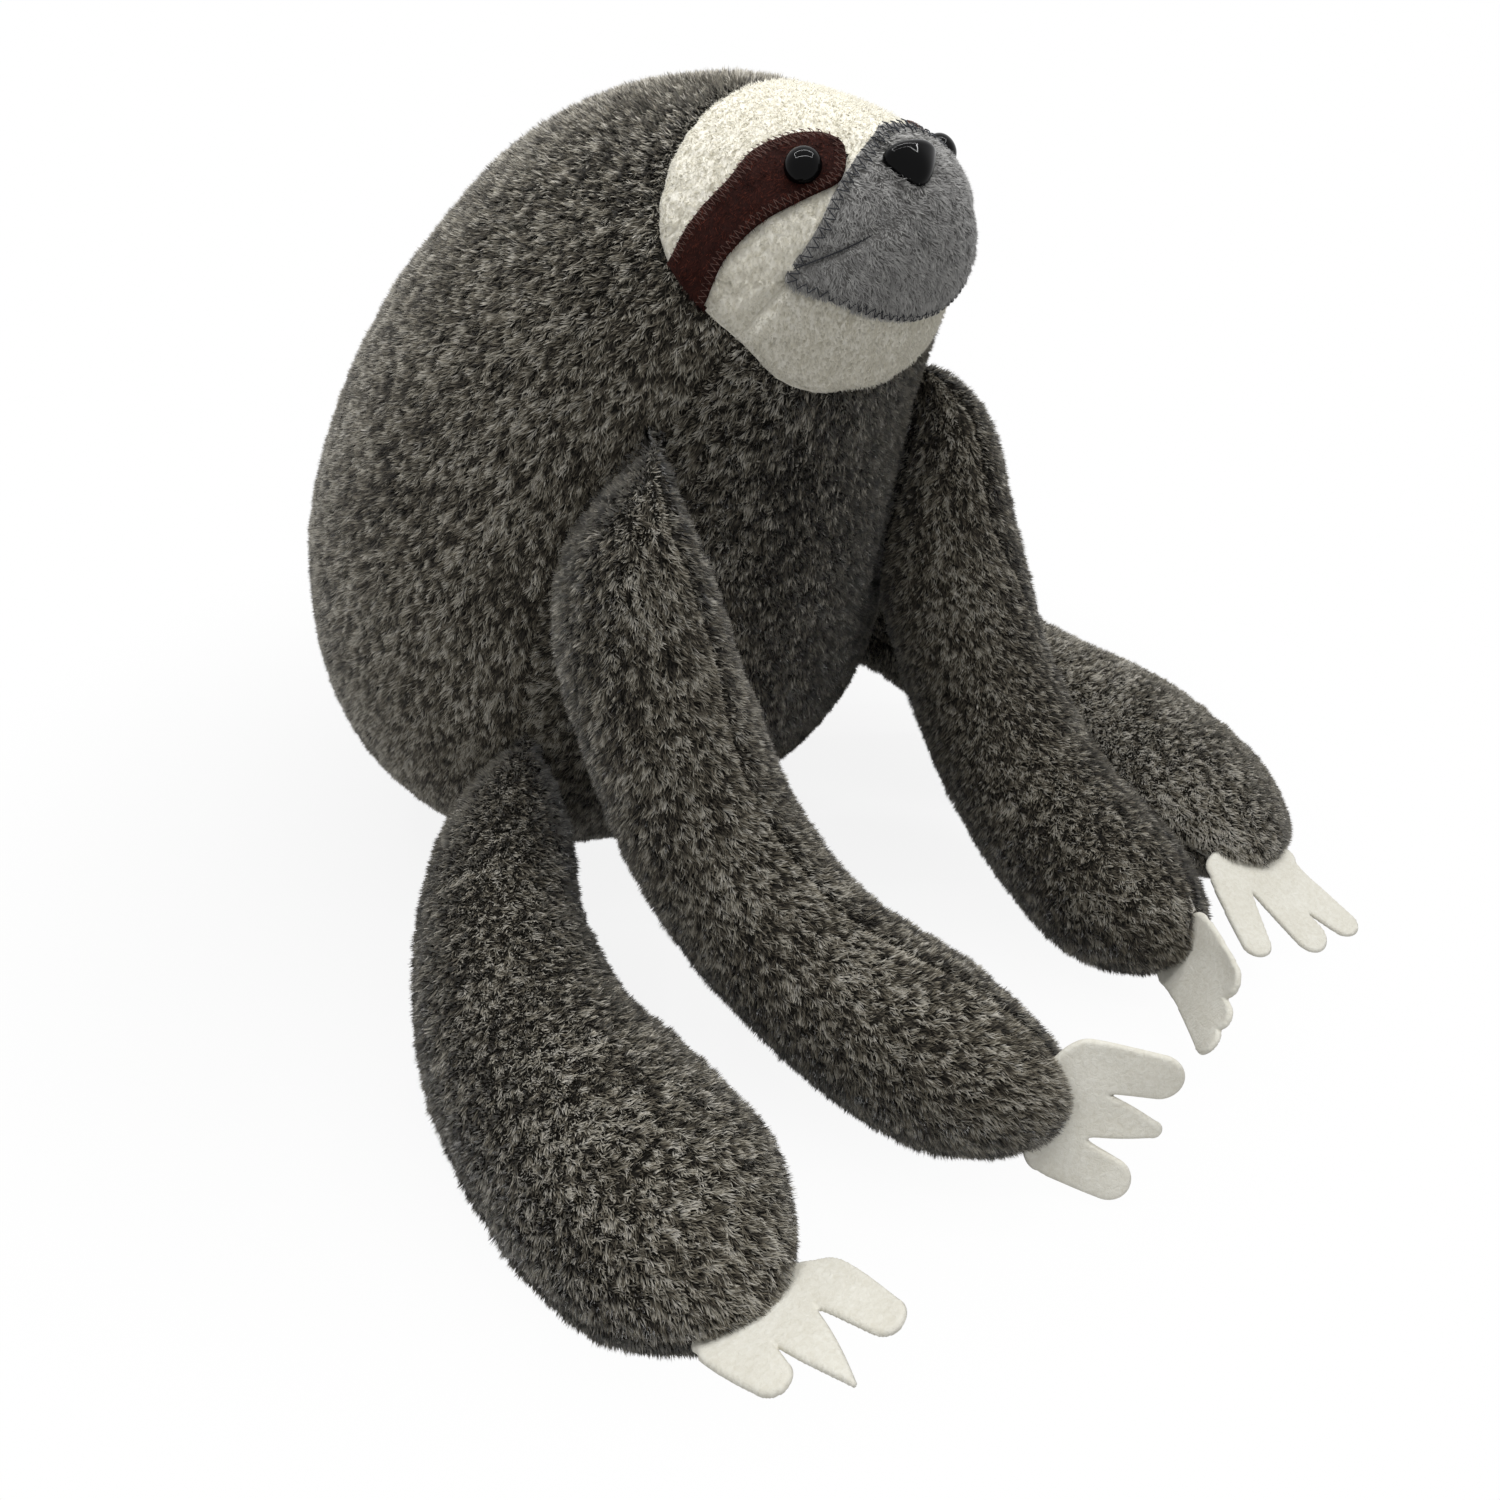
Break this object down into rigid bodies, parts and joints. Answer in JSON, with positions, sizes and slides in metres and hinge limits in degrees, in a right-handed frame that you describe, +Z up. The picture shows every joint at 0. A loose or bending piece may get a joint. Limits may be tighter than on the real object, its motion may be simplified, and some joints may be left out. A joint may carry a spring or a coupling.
{
  "type": "plush sloth",
  "caption": "Sitting stuffed sloth with an egg-shaped body and head in one, pale face, gray muzzle, and long swinging arms and legs with felt claws.",
  "frame": {"origin": "the middle of the flattened seat, on the floor that the toy sits on", "axes": "the toy looks along -Y, +Y points to its back, +Z is up, and its right side is at -X"},
  "size_m": [0.3311, 0.3639, 0.26],
  "materials": {
    "plush": "heathered short-pile plush",
    "face_fleece": "soft brushed fleece",
    "muzzle_fleece": "soft brushed fleece",
    "eye_patch_felt": "thin short-nap felt",
    "claw_felt": "pressed felt",
    "hard_trim": "polished",
    "washer": "moulded",
    "filling": "loose polyester fibre"
  },
  "bodies": {
    "body": {"belly_panel": "plush", "back_panel_right": "plush", "back_panel_left": "plush", "face_panel": "face_fleece", "chin_panel": "face_fleece", "body_filling": "filling", "muzzle_patch": "muzzle_fleece", "eye_patch_right": "eye_patch_felt", "eye_patch_left": "eye_patch_felt", "eye_right": "hard_trim", "eye_left": "hard_trim", "eye_washer_right": "washer", "eye_washer_left": "washer", "nose": "hard_trim", "nose_washer": "washer"},
    "arm_right": {"arm_outer_panel_right": "plush", "arm_inner_panel_right": "plush", "arm_filling_right": "filling", "arm_claws_right": "claw_felt"},
    "arm_left": {"arm_outer_panel_left": "plush", "arm_inner_panel_left": "plush", "arm_filling_left": "filling", "arm_claws_left": "claw_felt"},
    "leg_right": {"leg_top_panel_right": "plush", "leg_sole_panel_right": "plush", "leg_filling_right": "filling", "leg_claws_right": "claw_felt"},
    "leg_left": {"leg_top_panel_left": "plush", "leg_sole_panel_left": "plush", "leg_filling_left": "filling", "leg_claws_left": "claw_felt"}
  },
  "joints": [
    {"name": "arm_right_raise", "type": "hinge", "parent": "body", "child": "arm_right", "pos_m": [-0.054, -0.098, 0.184], "axis": [-1, 0, 0], "range_deg": [0, 50]},
    {"name": "arm_left_raise", "type": "hinge", "parent": "body", "child": "arm_left", "pos_m": [0.054, -0.098, 0.184], "axis": [-1, 0, 0], "range_deg": [0, 50]},
    {"name": "leg_right_spread", "type": "hinge", "parent": "body", "child": "leg_right", "pos_m": [-0.087, -0.057, 0.088], "axis": [0, 0.4762, -0.8793], "range_deg": [0, 35]},
    {"name": "leg_left_spread", "type": "hinge", "parent": "body", "child": "leg_left", "pos_m": [0.087, -0.057, 0.088], "axis": [0, -0.4762, 0.8793], "range_deg": [0, 35]}
  ]
}
